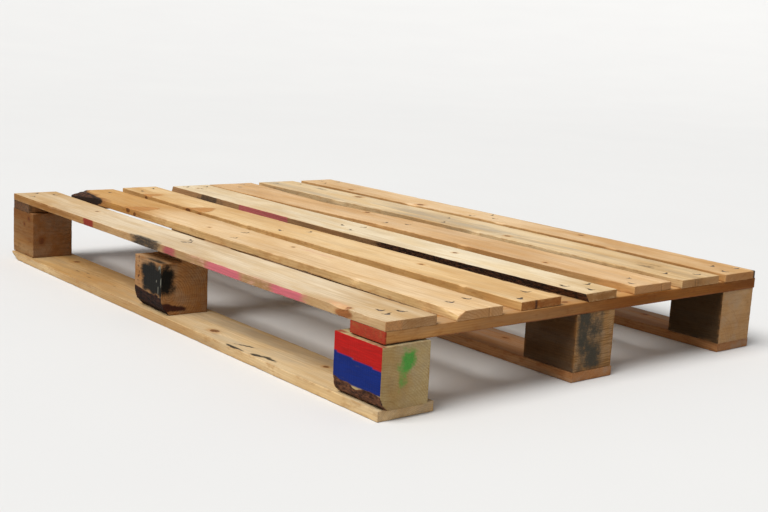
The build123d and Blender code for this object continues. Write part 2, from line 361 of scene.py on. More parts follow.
def timber_object(name, timber, places, grain, material):
    """Make the object of a finished piece and give it the attributes its material reads."""
    wood, ring, knot = timber.rings(**grain)
    faces = [list(map(int, face)) for face in timber.faces]
    piece = smooth_object(name, places.tolist(), faces, material)
    gap = np.sort(timber.half - np.abs(timber.flat), axis=1)[:, 1]
    set_attribute(piece.data, "wood", "FLOAT_VECTOR", wood)
    set_attribute(piece.data, "stain", "FLOAT_COLOR", timber.stain)
    single = {
        "ring": ring,
        "knot": knot,
        "end": smooth(0.55, 0.85, np.abs(timber.outward[:, 0])),
        "side": smooth(0.45, 0.85, timber.sideways),
        "edge": smooth(0.006, 0.0, gap),
        "bark": timber.bark,
        "grime": timber.grime,
        "crack": timber.crack,
        "tone": timber.tone,
    }
    for label, values in single.items():
        set_attribute(piece.data, label, "FLOAT", values)
    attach(piece, "root")
    return piece


# ------------------------------------------------------------------ reading the CAD nodes
def node_points(node):
    """The vertices of a CAD node."""
    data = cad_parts[node].data
    values = np.empty(len(data.vertices) * 3)
    data.vertices.foreach_get("co", values)
    return values.reshape(-1, 3)


def box_of(node):
    """The middle and the size of a CAD node's box."""
    low, high = (np.array(corner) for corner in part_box(node))
    return (low + high) / 2, high - low


STATIONS = (-0.3, 0.0, 0.3)


def plan_of(node, level=0):
    """The x of a deck board's ends and stations, and the y of its front and back edge there.

    Level 1 reads the upper face only, level -1 the lower face only.
    """
    points = node_points(node)
    if level == 1:
        points = points[points[:, 2] > points[:, 2].max() - FLAT_FACE]
    if level == -1:
        points = points[points[:, 2] < points[:, 2].min() + FLAT_FACE]
    places = [points[:, 0].min(), *STATIONS, points[:, 0].max()]
    front = []
    back = []
    for x in places:
        beside = points[np.abs(points[:, 0] - x) < 0.0005, 1]
        front.append(beside.min())
        back.append(beside.max())
    return np.array(places), np.array(front), np.array(back)


def edge_line(places, values, x):
    """A value that changes smoothly from one place to the next."""
    index = np.clip(np.searchsorted(places, x) - 1, 0, len(places) - 2)
    part = np.clip((x - places[index]) / (places[index + 1] - places[index]), 0, 1)
    part = 0.5 * part + 0.5 * part * part * (3 - 2 * part)
    return values[index] + (values[index + 1] - values[index]) * part


def turn_of(node):
    """How far a block is turned about Z, from the direction its right side faces."""
    total = Vector((0, 0, 0))
    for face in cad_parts[node].data.polygons:
        if face.normal.x > 0.95:
            total += face.normal * face.area
    return math.atan2(total.y, total.x)


def nail_places(node, from_above):
    """The x and y of each nail in a group, from the flat faces of the heads."""
    points = node_points(node)
    height = points[:, 2]
    if from_above:
        face = height > height.max() - FLAT_FACE
    else:
        face = height < height.min() + FLAT_FACE
    groups = []
    for point in points[face][:, :2]:
        for group in groups:
            if np.hypot(*(group[0] - point)) < 0.008:
                group.append(point)
                break
        else:
            groups.append([point])
    middles = [(np.min(group, axis=0) + np.max(group, axis=0)) / 2 for group in groups]
    return sorted(tuple(middle) for middle in middles)


# ------------------------------------------------------------------ material helpers
class Graph:
    """Short calls for building one node material."""

    def __init__(self, name):
        self.material = bpy.data.materials.new(name)
        self.material.use_nodes = True
        self.tree = self.material.node_tree
        self.tree.nodes.clear()
        self.shader = self.node("BsdfPrincipled")
        output = self.node("OutputMaterial")
        self.tree.links.new(self.shader.outputs[0], output.inputs[0])

    def node(self, kind):
        return self.tree.nodes.new(f"ShaderNode{kind}")

    def put(self, value, socket):
        """Link a socket, or set a number, vector or colour."""
        if isinstance(value, bpy.types.NodeSocket):
            self.tree.links.new(value, socket)
        else:
            socket.default_value = value

    def attribute(self, name, output="Fac"):
        node = self.node("Attribute")
        node.attribute_name = name
        return node.outputs[output]

    def math(self, operation, first, second=0.0, third=0.0, clamp=False):
        node = self.node("Math")
        node.operation = operation
        node.use_clamp = clamp
        self.put(first, node.inputs[0])
        self.put(second, node.inputs[1])
        self.put(third, node.inputs[2])
        return node.outputs[0]

    def times(self, first, second, clamp=False):
        return self.math("MULTIPLY", first, second, clamp=clamp)

    def times_plus(self, first, second, third):
        return self.math("MULTIPLY_ADD", first, second, third)

    def stirred(self, value, cloud, amount):
        """A value moved up and down by a noise from 0 to 1."""
        return self.times_plus(self.math("SUBTRACT", cloud, 0.5), amount, value)

    def stretch(self, vector, scale):
        node = self.node("VectorMath")
        node.operation = "MULTIPLY"
        self.put(vector, node.inputs[0])
        self.put(scale, node.inputs[1])
        return node.outputs[0]

    def noise(self, vector, scale, detail=3.0, roughness=0.55):
        """Noise from 0 to 1; scale gives the bumps per metre along each axis."""
        node = self.node("TexNoise")
        self.put(self.stretch(vector, scale), node.inputs["Vector"])
        node.inputs["Scale"].default_value = 1.0
        node.inputs["Detail"].default_value = detail
        node.inputs["Roughness"].default_value = roughness
        return node.outputs["Fac"]

    def random(self, value):
        """A random number for each whole number."""
        node = self.node("TexWhiteNoise")
        node.noise_dimensions = "1D"
        self.put(value, node.inputs["W"])
        return node.outputs["Value"]

    def rise(self, value, low, high):
        """0 at low, 1 at high, smooth between; high may be the smaller."""
        node = self.node("MapRange")
        node.interpolation_type = "SMOOTHSTEP"
        turned = high < low
        self.put(value, node.inputs["Value"])
        node.inputs["From Min"].default_value = min(low, high)
        node.inputs["From Max"].default_value = max(low, high)
        node.inputs["To Min"].default_value = 1.0 if turned else 0.0
        node.inputs["To Max"].default_value = 0.0 if turned else 1.0
        return node.outputs[0]

    def multiplied(self, first, second):
        """A colour times a colour."""
        return self.mix(1.0, first, second, "MULTIPLY")

    def mix(self, factor, first, second, blend="MIX"):
        node = self.node("Mix")
        node.data_type = "RGBA"
        node.blend_type = blend
        self.put(factor, node.inputs[0])
        self.put(rgba(first), node.inputs[6])
        self.put(rgba(second), node.inputs[7])
        return node.outputs[2]

    def bump(self, height, strength, distance):
        node = self.node("Bump")
        node.inputs["Strength"].default_value = strength
        node.inputs["Distance"].default_value = distance
        self.put(height, node.inputs["Height"])
        return node.outputs[0]


def rgba(colour):
    """A colour with alpha, or a socket left as it is."""
    if isinstance(colour, bpy.types.NodeSocket) or len(colour) == 4:
        return colour
    return (*colour, 1.0)


# ------------------------------------------------------------------ timber materials
EARLY_GAIN = (1.10, 1.10, 1.10)
LATE_TINT = (0.80, 0.69, 0.56)
WARM_TINT = (0.95, 0.82, 0.62)
BLOTCH_TINT = (0.80, 0.72, 0.62)
EDGE_TINT = (0.76, 0.64, 0.46)
END_TINT = (0.56, 0.42, 0.31)
TONE_TINT = (0.76, 0.60, 0.38)
FIBRE_DARK = (0.90, 0.875, 0.84)
FIBRE_LIGHT = (1.07, 1.075, 1.08)
FLAME_TINT = (0.74, 0.50, 0.27)
SHADED_SIDE_TINT = (0.74, 0.68, 0.62)
TORN_TINT = (0.62, 0.48, 0.34)
SAW_LINE_TINT = (0.45, 0.38, 0.32)
WORN_EDGE_TINT = (0.60, 0.44, 0.30)
SOAKED_DARK = (0.78, 0.78, 0.78)
SOAKED_LIGHT = (1.15, 1.15, 1.15)
PAINT_COVER = 0.995
WOOD_SHINE = 0.10
BARK_DARK = (0.016, 0.010, 0.008)
BARK_RED = (0.11, 0.045, 0.022)
KNOT_DARK = (0.055, 0.018, 0.007)
KNOT_RED = (0.22, 0.080, 0.028)
FLAME = (0.47, 0.215, 0.065)
FLAME_RIM = (0.22, 0.080, 0.022)
GRIME = (0.022, 0.020, 0.018)
WEATHER_GREY = (0.30, 0.27, 0.22)


def tinted(colour, tint):
    """A colour times a tint."""
    return tuple(a * b for a, b in zip(colour, tint))


def timber_material(
    name,
    colour,
    spacing,
    contrast=0.50,
    weather=0.15,
    saw=0.35,
    side_tint_and_shade=EDGE_TINT,
    end_tint=END_TINT,
    bark_tones=(BARK_DARK, BARK_RED),
    tone_tint=TONE_TINT,
    end_saw=0.0,
):
    """Sawn softwood: rings, fibres, blotches, knots, bark, cracks, grime and paint."""
    early = tinted(colour, EARLY_GAIN)
    late_tone = tinted(colour, LATE_TINT)
    warm = tinted(colour, WARM_TINT)
    g = Graph(name)
    wood = g.attribute("wood", "Vector")
    ring = g.attribute("ring")
    knot = g.attribute("knot")
    end = g.attribute("end")
    side = g.attribute("side")

    wander = g.noise(wood, (5.0, 45.0, 45.0), 3.0)
    count = g.math("ADD", g.math("DIVIDE", ring, spacing), g.times(wander, 1.6))
    phase = g.math("FRACT", count)
    late = g.times(g.rise(phase, 0.25, 0.88), g.rise(phase, 1.0, 0.93))
    strength = g.times_plus(g.random(g.math("FLOOR", count)), 0.65, 0.35)
    late = g.times(late, strength)
    late = g.times(late, g.times_plus(end, 0.35, contrast), clamp=True)

    fibre = g.noise(wood, (16.0, 600.0, 600.0), 3.0, 0.6)
    streak = g.noise(wood, (3.0, 75.0, 75.0), 4.0, 0.62)
    blotch = g.noise(wood, (7.0, 26.0, 26.0), 4.0, 0.6)
    cloud = g.noise(wood, (2.6, 9.0, 9.0), 3.0, 0.55)
    speck = g.noise(wood, (90.0, 380.0, 380.0), 2.0, 0.5)
    handled = g.noise(wood, (45.0, 120.0, 120.0), 4.0, 0.62)

    shade = g.mix(late, early, late_tone)
    shade = g.mix(g.times(g.rise(blotch, 0.40, 0.66), 0.60), shade, warm)
    shade = g.mix(g.times(g.rise(streak, 0.52, 0.74), 0.35), shade, late_tone)
    dim = g.mix(g.times(g.rise(cloud, 0.42, 0.70), 0.75), (1.0, 1.0, 1.0), BLOTCH_TINT)
    shade = g.multiplied(shade, dim)
    pale = g.mix(g.rise(fibre, 0.28, 0.74), FIBRE_DARK, FIBRE_LIGHT)
    shade = g.multiplied(shade, pale)
    shade = g.mix(g.times(g.rise(speck, 0.67, 0.75), 0.5), shade, late_tone)

    weathered = g.noise(wood, (3.5, 30.0, 30.0), 5.0, 0.66)
    weathered = g.times(g.rise(weathered, 0.42, 0.68), weather * 2.0, clamp=True)
    shade = g.mix(weathered, shade, WEATHER_GREY)

    toned = g.stirred(g.attribute("tone"), blotch, 0.5)
    toned = g.times(g.rise(toned, 0.0, 1.0), g.rise(g.attribute("tone"), 0.0, 0.15))
    shade = g.mix(toned, shade, g.multiplied(shade, tone_tint))

    flame = g.times(g.rise(knot, 2.6, 1.0), g.rise(streak, 0.25, 0.60))
    shade = g.mix(g.times(flame, 0.75), shade, tinted(colour, FLAME_TINT))
    ragged = g.stirred(knot, handled, 0.9)
    inside = g.rise(ragged, 1.15, 0.80)
    knot_rings = g.math("FRACT", g.times_plus(ragged, 2.6, g.times(wander, 2.0)))
    heart = g.mix(g.rise(knot_rings, 0.1, 0.9), KNOT_RED, KNOT_DARK)
    shade = g.mix(g.times(inside, 0.85), shade, heart)

    # side faces take the side tint; on the centre right and back right blocks the front face's tint is
    # painted shade
    sawn_side_and_shade = g.mix(g.rise(cloud, 0.30, 0.72), side_tint_and_shade, tinted(side_tint_and_shade, SHADED_SIDE_TINT))
    torn = g.times(g.rise(handled, 0.52, 0.68), 0.55)
    sawn_side_and_shade = g.mix(torn, sawn_side_and_shade, tinted(side_tint_and_shade, TORN_TINT))
    shade = g.mix(side, shade, g.multiplied(shade, sawn_side_and_shade))
    saw_lines = g.noise(wood, (20.0, 22.0, 460.0), 2.0, 0.5)
    saw_lines = g.times(g.rise(saw_lines, 0.48, 0.62), end_saw)
    end_shade = g.mix(saw_lines, end_tint, tinted(end_tint, SAW_LINE_TINT))
    shade = g.mix(end, shade, g.multiplied(shade, end_shade))

    edge = g.attribute("edge")
    worn = g.times(edge, g.rise(handled, 0.42, 0.62))
    shade = g.mix(g.times(worn, 0.55), shade, tinted(colour, WORN_EDGE_TINT))

    stain = g.attribute("stain", "Color")
    alpha = g.attribute("stain", "Alpha")
    cover = g.stirred(alpha, handled, 0.8)
    cover = g.stirred(cover, fibre, 0.5)
    cover = g.times(g.rise(cover, 0.20, 0.80), g.rise(alpha, 0.0, 0.25))
    soaked = g.mix(g.rise(fibre, 0.25, 0.75), SOAKED_DARK, SOAKED_LIGHT)
    shade = g.mix(g.times(cover, PAINT_COVER), shade, g.multiplied(stain, soaked))

    bark = g.attribute("bark")
    bark = g.stirred(bark, handled, 0.7)
    bark = g.rise(bark, 0.35, 0.75)
    flakes = g.noise(wood, (100.0, 260.0, 260.0), 4.0, 0.65)
    bark_colour = g.mix(g.rise(flakes, 0.36, 0.66), bark_tones[0], bark_tones[1])
    shade = g.mix(bark, shade, bark_colour)

    grime = g.attribute("grime")
    dirt = g.stirred(grime, flakes, 0.9)
    dirt = g.times(g.rise(dirt, 0.20, 0.90), g.rise(grime, 0.0, 0.2))
    shade = g.mix(g.times(dirt, 0.95), shade, GRIME)
    crack = g.attribute("crack")
    shade = g.mix(g.times(crack, 0.9), shade, BARK_DARK)
    g.put(shade, g.shader.inputs["Base Color"])

    rough = g.times_plus(fibre, 0.18, 0.70)
    rough = g.times_plus(cover, -0.08, rough)
    g.put(rough, g.shader.inputs["Roughness"])
    g.shader.inputs["Specular IOR Level"].default_value = WOOD_SHINE

    saw_waves = g.noise(wood, (430.0, 10.0, 10.0), 2.0, 0.5)
    height = g.times(fibre, 0.55)
    layers = [
        (late, 0.35),
        (streak, 0.35),
        (handled, 0.45),
        (saw_waves, saw),
        (g.times(saw_lines, end), -1.2),
        (g.times(bark, flakes), 3.0),
        (cover, 0.12),
    ]
    for layer, strength in layers:
        height = g.times_plus(layer, strength, height)
    g.put(g.bump(height, 0.6, 0.0008), g.shader.inputs["Normal"])
    return g.material


STEEL_DARK = (0.16, 0.155, 0.15)
STEEL_LIGHT = (0.32, 0.31, 0.30)
RUST_DARK = (0.055, 0.026, 0.014)
RUST_LIGHT = (0.17, 0.075, 0.035)


def nail_material():
    """Steel wire nails gone dull, with rust in patches."""
    g = Graph("nail_steel")
    place = g.node("TexCoord").outputs["Object"]
    patches = g.noise(place, (700.0, 700.0, 700.0), 4.0, 0.6)
    grit = g.noise(place, (3500.0, 3500.0, 3500.0), 3.0, 0.6)
    rust = g.rise(patches, 0.40, 0.60)
    steel = g.mix(grit, STEEL_DARK, STEEL_LIGHT)
    rusty = g.mix(grit, RUST_DARK, RUST_LIGHT)
    g.put(g.mix(rust, steel, rusty), g.shader.inputs["Base Color"])
    g.put(g.times_plus(rust, -0.75, 0.85), g.shader.inputs["Metallic"])
    g.put(g.times_plus(rust, 0.35, 0.42), g.shader.inputs["Roughness"])
    g.put(g.bump(grit, 0.5, 0.0003), g.shader.inputs["Normal"])
    return g.material


# ------------------------------------------------------------------ paint and scuffs
RED_PAINT = (0.34, 0.006, 0.005)
BLUE_PAINT = (0.002, 0.014, 0.125)
GREEN_PAINT = (0.075, 0.27, 0.045)
FADED_RED = (0.20, 0.024, 0.012)
PINK_STAIN = (0.46, 0.110, 0.130)
CRIMSON_STAIN = (0.35, 0.085, 0.080)
BAST_BROWN = (0.26, 0.14, 0.060)
BLACK_STAIN = (0.006, 0.006, 0.005)
WORN_RED = (0.28, 0.032, 0.014)
PALE_CRIMSON = (0.30, 0.070, 0.068)
RUBBED_PINK = (0.62, 0.34, 0.27)
STRAP_BROWN = (0.30, 0.16, 0.07)
KNOT_BROWN = (0.22, 0.080, 0.024)
KNOT_HALO = (0.66, 0.34, 0.17)
END_BROWN = (0.42, 0.20, 0.075)
TOP_PINK = (0.64, 0.32, 0.25)
CHAR_BLACK = (0.022, 0.013, 0.009)
SCORCH_BROWN = (0.28, 0.12, 0.040)
STRIPE_BROWN = (0.060, 0.020, 0.010)
DARK_BAST = (0.110, 0.062, 0.030)
CRIMSON_TRACE = (0.25, 0.075, 0.055)
LOW_EDGE_BROWN = (0.16, 0.045, 0.018)
DRIPPED_RED = (0.24, 0.030, 0.018)
# dark colour laid on a block's top as painted shade
PAINTED_SHADE_BLACK = (0.030, 0.022, 0.015)
SEAM_BROWN = (0.05, 0.015, 0.008)
RUBBED_GREY = (0.15, 0.145, 0.115)
FOOT_BROWN = (0.045, 0.014, 0.009)
INK_STAIN = (0.050, 0.043, 0.030)


def strip(values, low, high, soft):
    """1 between low and high, falling to 0 over soft on both sides."""
    return np.clip(np.minimum(values - low, high - values) / soft + 0.5, 0, 1)


def paint(timber, mask, colour):
    """Lay a colour over the piece where the mask is larger than what is there."""
    over = mask > timber.stain[:, 3]
    timber.stain[over, :3] = colour
    timber.stain[:, 3] = np.maximum(timber.stain[:, 3], mask)


def on_front(timber):
    """1 on the face towards -Y of a piece that lies along X."""
    return smooth(0.5, 0.8, -timber.outward[:, 1])


def on_top(timber, least=0.5):
    """True on the upper face."""
    return timber.outward[:, 2] > least


def on_right(timber):
    """True on the right end of a piece that lies along X."""
    return timber.outward[:, 0] > 0.6


# ------------------------------------------------------------------ deck boards
def knot_at(x, y, z, radius, axis=(0, 0, 1), length=0.5):
    """A knot: where its branch starts, how thick it is and which way it runs."""
    return {"at": (x, y, z), "radius": radius, "axis": axis, "length": length}


DECK = {
    1: {"colour": (0.66, 0.545, 0.39), "pith": (0.030, -0.075), "spacing": 0.0034, "weather": 0.06},
    2: {"colour": (0.69, 0.51, 0.31), "pith": (-0.050, -0.060), "spacing": 0.0042, "weather": 0.04},
    3: {"colour": (0.68, 0.49, 0.27), "pith": (0.015, -0.090), "spacing": 0.0038, "weather": 0.06},
    4: {"colour": (0.73, 0.63, 0.46), "pith": (-0.030, 0.080), "spacing": 0.0030, "weather": 0.08},
    5: {"colour": (0.64, 0.44, 0.25), "pith": (0.045, -0.085), "spacing": 0.0040, "weather": 0.08},
    6: {"colour": (0.66, 0.52, 0.33), "pith": (-0.020, 0.095), "spacing": 0.0030, "weather": 0.30},
    7: {"colour": (0.67, 0.49, 0.30), "pith": (0.035, -0.070), "spacing": 0.0040, "weather": 0.05},
}
DECK_END_TINT = {4: (0.42, 0.27, 0.15), 3: (0.39, 0.21, 0.10)}
DECK_EDGE_TINT = {1: (0.62, 0.50, 0.36), 2: (0.84, 0.78, 0.62), 6: (0.86, 0.80, 0.70)}
DECK_KNOTS = {
    1: [
        knot_at(0.510, -0.046, 0.000, 0.0085, (0.4, 1, 0.9), 0.030),
        knot_at(-0.330, 0.010, 0.0, 0.0035),
    ],
    2: [
        knot_at(-0.352, -0.046, 0.002, 0.0060, (0.5, 1, 0.05), 0.070),
        knot_at(-0.325, -0.046, -0.002, 0.0045, (0.5, 1, 0.10), 0.050),
        knot_at(0.120, 0.020, 0.0, 0.0035),
        knot_at(-0.100, -0.010, 0.0, 0.0030),
    ],
    3: [
        knot_at(-0.490, -0.047, 0.0, 0.0055, (0.4, 1, 0.1), 0.040),
        knot_at(-0.305, -0.051, 0.002, 0.0060, (1.0, 1, 0.05), 0.080),
        knot_at(-0.262, -0.051, -0.001, 0.0045, (1.0, 1, 0.1), 0.050),
        knot_at(0.330, 0.012, 0.0, 0.0035),
    ],
    4: [knot_at(-0.554, -0.006, 0.0, 0.0035), knot_at(0.270, 0.010, 0.0, 0.0040)],
    5: [knot_at(-0.140, 0.030, 0.0, 0.0050), knot_at(0.400, -0.020, 0.0, 0.0035)],
    6: [knot_at(0.180, -0.018, 0.0, 0.0050), knot_at(-0.330, 0.026, 0.0, 0.0070)],
    7: [
        knot_at(-0.430, -0.028, 0.0, 0.0060),
        knot_at(-0.190, -0.024, 0.0, 0.0070),
        knot_at(0.230, 0.018, 0.0, 0.0050),
    ],
}
# cracks: where they lie, the end they open at, how far they run in and how deep
DECK_CRACKS = {
    2: [{"y": 0.018, "end": 1, "length": 0.070, "depth": 0.0020}],
    3: [{"y": -0.008, "end": 1, "length": 0.030, "depth": 0.0020}],
    5: [{"y": 0.022, "end": 1, "length": 0.110, "depth": 0.0018}],
    6: [{"y": -0.014, "end": 1, "length": 0.090, "depth": 0.0018}],
    7: [{"y": 0.010, "end": -1, "length": 0.080, "depth": 0.0018}],
}
# how far the long edges wander, how far the middle stands up, how far the right end twists
WAVER = {1: 0.0006, 2: 0.0008, 3: 0.0010, 4: 0.0006, 5: 0.0010, 6: 0.0016, 7: 0.0016}
BOW = {1: 0.0003, 2: 0.0004, 3: 0.0002, 4: 0.0, 5: 0.0002, 6: -0.0002, 7: 0.0003}
TWIST = {3: 0.0011, 4: 0.0010}
# nicks in the upper front edge: x, width and depth
NICKS = {
    1: [(0.500, 0.024, 0.0042), (0.560, 0.012, 0.0012), (-0.420, 0.014, 0.0014)],
    2: [(0.372, 0.014, 0.0026), (0.160, 0.020, 0.0014)],
    3: [(0.480, 0.010, 0.0022), (-0.100, 0.016, 0.0014)],
    5: [(0.220, 0.018, 0.0018)],
    6: [(-0.300, 0.030, 0.0022), (0.120, 0.018, 0.0020)],
    7: [(-0.200, 0.030, 0.0024), (0.060, 0.022, 0.0022), (0.350, 0.020, 0.0018)],
}


# colour run off onto the front edge of board 1: strength, from x, to x, softness
BOARD_1_RUNS = [
    (0.95, -0.272, -0.232, 0.014, FADED_RED),
    (0.85, 0.024, 0.066, 0.034, PALE_CRIMSON),
    (0.95, 0.164, 0.262, 0.036, PINK_STAIN),
    (0.90, 0.342, 0.426, 0.040, PINK_STAIN),
]


def dress_board_1(timber, places):
    """Paint run-off and a black scuff along the front edge, and a strap line across the top."""
    x, y = places[:, 0], places[:, 1]
    front = on_front(timber)
    low = smooth(0.45, 0.95, -timber.outward[:, 1])
    for strength, start, stop, soft, colour in BOARD_1_RUNS:
        paint(timber, strength * strip(x, start, stop, soft) * low, colour)
    wiped = smooth(-0.393, -0.398, y) * strip(x, 0.085, 0.420, 0.08)
    paint(timber, 0.30 * wiped, RUBBED_PINK)
    scuff = strip(x, -0.090, 0.016, 0.050) * smooth(-0.384, -0.399, y)
    timber.soil(0.80 * scuff)
    line_x = -0.248 + (y + 0.400) * 0.26
    line = strip(x, line_x - 0.0012, line_x + 0.0012, 0.003) * on_top(timber)
    paint(timber, 0.58 * line, STRAP_BROWN)
    knot_side = np.hypot((x - 0.512) / 0.022, (places[:, 2] - 0.126) / 0.009)
    paint(timber, 0.80 * smooth(1.3, 0.4, knot_side) * front, KNOT_BROWN)
    above = np.hypot((x - 0.480) / 0.060, (y + 0.391) / 0.013)
    paint(timber, 0.46 * smooth(1.3, 0.3, above) * on_top(timber), KNOT_HALO)
    end_patch = smooth(-0.366, -0.374, y) * on_right(timber)
    paint(timber, 0.62 * end_patch, END_BROWN)
    timber.tone = 0.50 * smooth(-0.05, -0.45, x) + 0.50 * smooth(0.30, 0.50, x) * (1 - front)
    timber.tone += 0.45 * front * smooth(0.25, -0.30, x)


def dress_board_2(timber, places):
    """A pink rub mark on top, a charred corner, and heartwood flames behind the edge knots."""
    x, y = places[:, 0], places[:, 1]
    top = on_top(timber)
    mark = strip(x, 0.135, 0.235, 0.03) * strip(y, -0.214, -0.198, 0.012)
    paint(timber, 0.42 * mark * top, TOP_PINK)
    flame_mark(timber, places, (-0.335, -0.282), (-0.322, -0.218), 0.040)
    cloud = rough_noise(places, (0.025, 0.012, 0.012), 23)
    reach = y + 0.243 + 0.19 * (x + 0.596) + 0.007 * cloud
    char = smooth(0.004, -0.008, reach) * smooth(-0.42, -0.48, x)
    paint(timber, 0.93 * char, CHAR_BLACK)
    scorch = smooth(0.014, 0.0, reach) * smooth(-0.36, -0.46, x)
    paint(timber, 0.60 * scorch, SCORCH_BROWN)
    timber.tone = 0.95 * smooth(-0.10, -0.42, x)


def dress_board_3(timber, places):
    """A dark stripe down the right end, and flames behind the edge knots."""
    x, y = places[:, 0], places[:, 1]
    stripe = strip(y, -0.126, -0.122, 0.0015) * on_right(timber)
    paint(timber, 0.85 * stripe, STRIPE_BROWN)
    flame_mark(timber, places, (-0.284, -0.170), (-0.288, -0.114), 0.037)
    flame_mark(timber, places, (-0.490, -0.164), (-0.486, -0.120), 0.022)
    timber.tone = 0.28 * smooth(-0.10, -0.45, x)


def flame_mark(timber, places, start, tip, width):
    """A tongue of darker heartwood on the top face, from start, narrowing to its tip."""
    start, tip = np.array(start), np.array(tip)
    run = tip - start
    length = np.hypot(*run)
    apart = places[:, :2] - start
    along = apart @ run / length
    across = np.abs(apart @ np.array([-run[1], run[0]])) / length
    part = np.clip(along / length, 0, 1)
    edge = width * np.sqrt(np.clip(1 - part, 0, 1)) * smooth(-0.1, 0.12, part)
    edge = edge * (1 + 0.25 * noise(places, (0.02, 0.02, 0.02), timber.seed + 30))
    inside = smooth(1.15, 0.75, across / np.maximum(edge, 1e-5)) * (along > 0)
    rim = inside * smooth(0.60, 0.95, across / np.maximum(edge, 1e-5))
    top = on_top(timber)
    paint(timber, 0.70 * inside * top, FLAME)
    paint(timber, 0.80 * rim * top, FLAME_RIM)


def dress_board_4(timber, places):
    """Bark along the leaning front edge, worn to brown bast, with crimson over part of it."""
    x, y = places[:, 0], places[:, 1]
    front = np.maximum(on_front(timber), np.clip(timber.bark * 2, 0, 1))
    paint(timber, 0.92 * front, BAST_BROWN)
    cloud = 0.5 + 0.5 * rough_noise(places, (0.06, 0.02, 0.02), 43)
    kept = smooth(0.06, 0.18, x)
    timber.bark = timber.bark * np.clip(kept + 0.15 * cloud * (x < 0), 0, 1)
    paint(timber, 0.93 * strip(x, -0.500, -0.380, 0.060) * front, DARK_BAST)
    run = strip(x, -0.338, -0.125, 0.045) * front
    timber.bark *= 1 - run
    paint(timber, 0.97 * run, CRIMSON_STAIN)
    trace = strip(x, -0.080, 0.100, 0.06) * front
    paint(timber, 0.935 * trace * smooth(-0.2, 0.5, cloud - 0.4), CRIMSON_TRACE)
    timber.soil(0.6 * strip(x, -0.50, -0.37, 0.05) * smooth(-0.036, -0.042, y))
    timber.tone = 0.5 * smooth(0.38, 0.56, x)


def dress_board_5(timber, places):
    """Hardly a mark: only a little more colour at the left."""
    timber.tone = 0.35 * smooth(-0.15, -0.50, places[:, 0])


def dress_board_6(timber, places):
    """Grey weather stains where water stood, and a rough brown front edge."""
    x = places[:, 0]
    cloud = rough_noise(places, (0.05, 0.016, 0.02), 61)
    wet = smooth(0.25, 0.9, cloud) * on_top(timber)
    damp = np.maximum(strip(x, -0.56, -0.34, 0.08), strip(x, 0.42, 0.58, 0.08))
    timber.soil(0.52 * wet * damp)
    timber.tone = 0.04 + 0.45 * smooth(0.25, 0.50, x)


def dress_board_7(timber, places):
    """A dark bruised corner at the right end."""
    away = np.hypot((places[:, 0] - 0.602) / 0.009, (places[:, 1] - 0.397) / 0.008)
    timber.soil(0.9 * smooth(1.4, 0.5, away))
    timber.tone = 0.12 + 0.42 * smooth(0.0, 0.50, places[:, 0])


DECK_DRESS = {
    1: dress_board_1,
    2: dress_board_2,
    3: dress_board_3,
    4: dress_board_4,
    5: dress_board_5,
    6: dress_board_6,
    7: dress_board_7,
}


def fit_between(timber, centre, stations, edges, lean):
    """Move the long edges of a straight board to the lines that the CAD node gives."""
    half_y, half_z = timber.half[1:]
    x = timber.points[:, 0] + centre[0]
    front_line, back_line = (edge_line(stations, edge, x) for edge in edges)
    drop = np.clip(0.5 - timber.points[:, 2] / (2 * half_z), 0, 1)
    front_line += edge_line(stations, lean, x) * drop
    across = (timber.points[:, 1] + half_y) / (2 * half_y)
    timber.points[:, 1] = front_line + (back_line - front_line) * across - centre[1]


def deck_board(number):
    """One deck board, replacing its CAD node."""
    node = f"deck_board_{number}"
    stations, front, back = plan_of(node)
    lean = np.zeros(len(stations))
    if number == 4:
        front = plan_of(node, 1)[1]
        lean = plan_of(node, -1)[1] - front
    left, right = stations[0], stations[-1]
    low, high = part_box(node)
    middle_y = (front.mean() + back.mean()) / 2
    centre = np.array([(left + right) / 2, middle_y, (low[2] + high[2]) / 2])
    size = (right - left, back.mean() - front.mean(), high[2] - low[2])
    nails = [(x - centre[0], y - centre[1]) for x, y in nail_places(f"nails_deck_{number}", True)]
    knots = DECK_KNOTS[number]
    top = size[2] / 2
    spots = [(np.array([x, y, top]), FINE_GRID_REACH) for x, y in nails]
    spots += [(np.array(knot["at"]), knot["radius"] * 2.2 + 0.006) for knot in knots]
    cracks = DECK_CRACKS.get(number, ())
    timber = Timber(size, DECK_SEED + number, BOARD_STEPS, cracks=cracks, spots=spots)
    timber.roughen()
    half_x, half_y, half_z = timber.half
    if number == 2:
        timber.cut((-half_x, -half_y, half_z - 0.010), (-0.085, -0.32, 1.0), 0.0016, 21)
        timber.cut((half_x, -half_y, half_z - 0.010), (0.222, -0.625, 1.0), 0.0006, 22)
        timber.bark *= smooth(0.50, 0.30, timber.points[:, 0])
    if number == 4:
        timber.bark = on_front(timber)
    for x, wide, deep in NICKS.get(number, ()):
        timber.nick(x, wide, deep)
    timber.waver(WAVER[number])
    timber.bow(0.0, BOW[number])
    timber.twist(TWIST.get(number, 0.0))
    fit_between(timber, centre, stations, (front, back), lean)
    timber.dent(nails, 1)
    places = timber.points + centre
    DECK_DRESS[number](timber, places)
    style = DECK[number]
    material = timber_material(
        f"timber_deck_{number}",
        style["colour"],
        style["spacing"],
        weather=style["weather"],
        side_tint_and_shade=DECK_EDGE_TINT.get(number, EDGE_TINT),
        end_tint=DECK_END_TINT.get(number, END_TINT),
    )
    grain = {"pith": style["pith"], "drift": (0.012, 0.006), "knots": knots}
    piece = timber_object(f"board_{number}", timber, places, grain, material)
    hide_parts(node)


# ------------------------------------------------------------------ stringer boards
STRINGER_COLOURS = {
    "left": (0.34, 0.20, 0.10),
    "middle": (0.40, 0.26, 0.14),
    "right": (0.50, 0.29, 0.12),
}
STRINGER_EDGE_TINT = (0.94, 0.84, 0.70)
STRINGER_TONE_TINT = (0.50, 0.34, 0.16)


